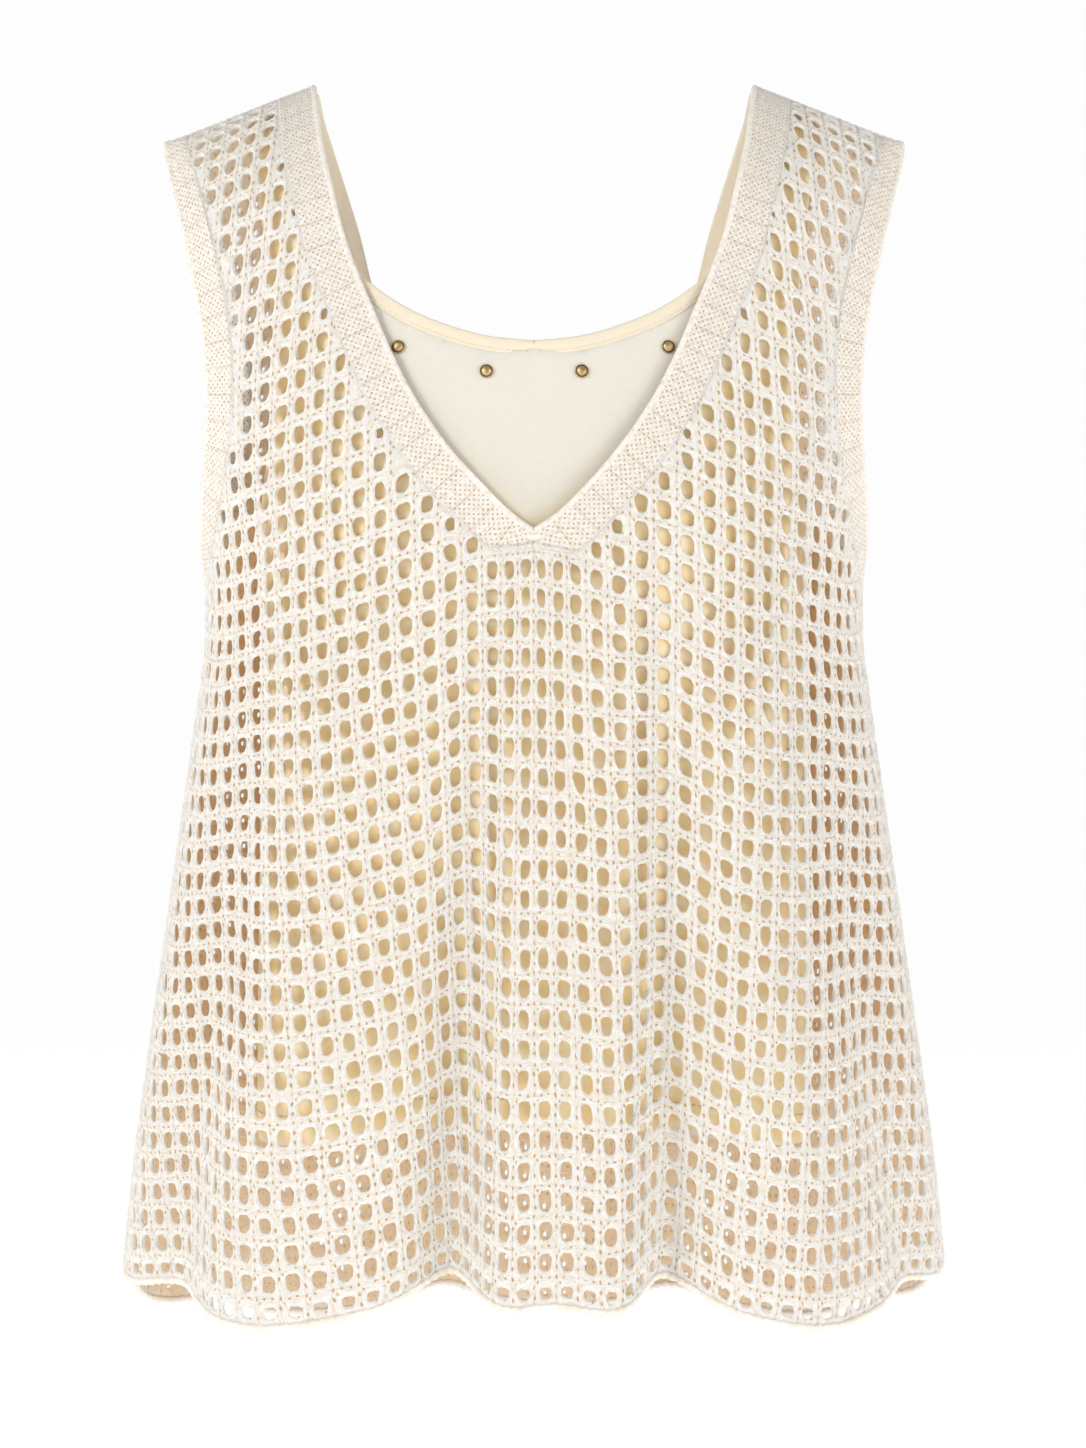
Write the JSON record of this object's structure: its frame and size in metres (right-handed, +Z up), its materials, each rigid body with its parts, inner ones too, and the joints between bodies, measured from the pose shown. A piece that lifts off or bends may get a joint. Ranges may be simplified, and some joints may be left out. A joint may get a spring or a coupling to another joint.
{
  "type": "crochet top",
  "caption": "Sleeveless open-knit top with a deep V neck over a slim woven lining with small domed studs, filled out as worn.",
  "frame": {"origin": "where the shoulders carry the top: midway between the undersides of the two lining straps at the shoulder seams", "axes": "+Z up, -Y out of the front, +X to the right of someone looking at the front"},
  "size_m": [0.3745, 0.2652, 0.577],
  "materials": {
    "net_knit": "off-white open cotton knit, matte",
    "band_knit": "off-white fine cotton knit, matte",
    "lining_cotton": "plain cream woven cotton, matte",
    "binding_cotton": "warm cream bias binding, matte",
    "tape_cotton": "cream cotton tape, matte",
    "stud_brass": "antique brass, dark in the recesses"
  },
  "bodies": {
    "root": {"front_net": "net_knit", "back_net": "net_knit", "neck_band_front": "band_knit", "neck_band_back": "band_knit", "armhole_band_front_left": "band_knit", "armhole_band_front_right": "band_knit", "armhole_band_back_left": "band_knit", "armhole_band_back_right": "band_knit", "lining_front": "lining_cotton", "lining_back": "lining_cotton", "lining_binding_front": "binding_cotton", "lining_binding_back": "binding_cotton", "shoulder_tape_left": "tape_cotton", "shoulder_tape_right": "tape_cotton", "stud_1": "stud_brass", "stud_2": "stud_brass", "stud_3": "stud_brass", "stud_4": "stud_brass"}
  },
  "joints": []
}
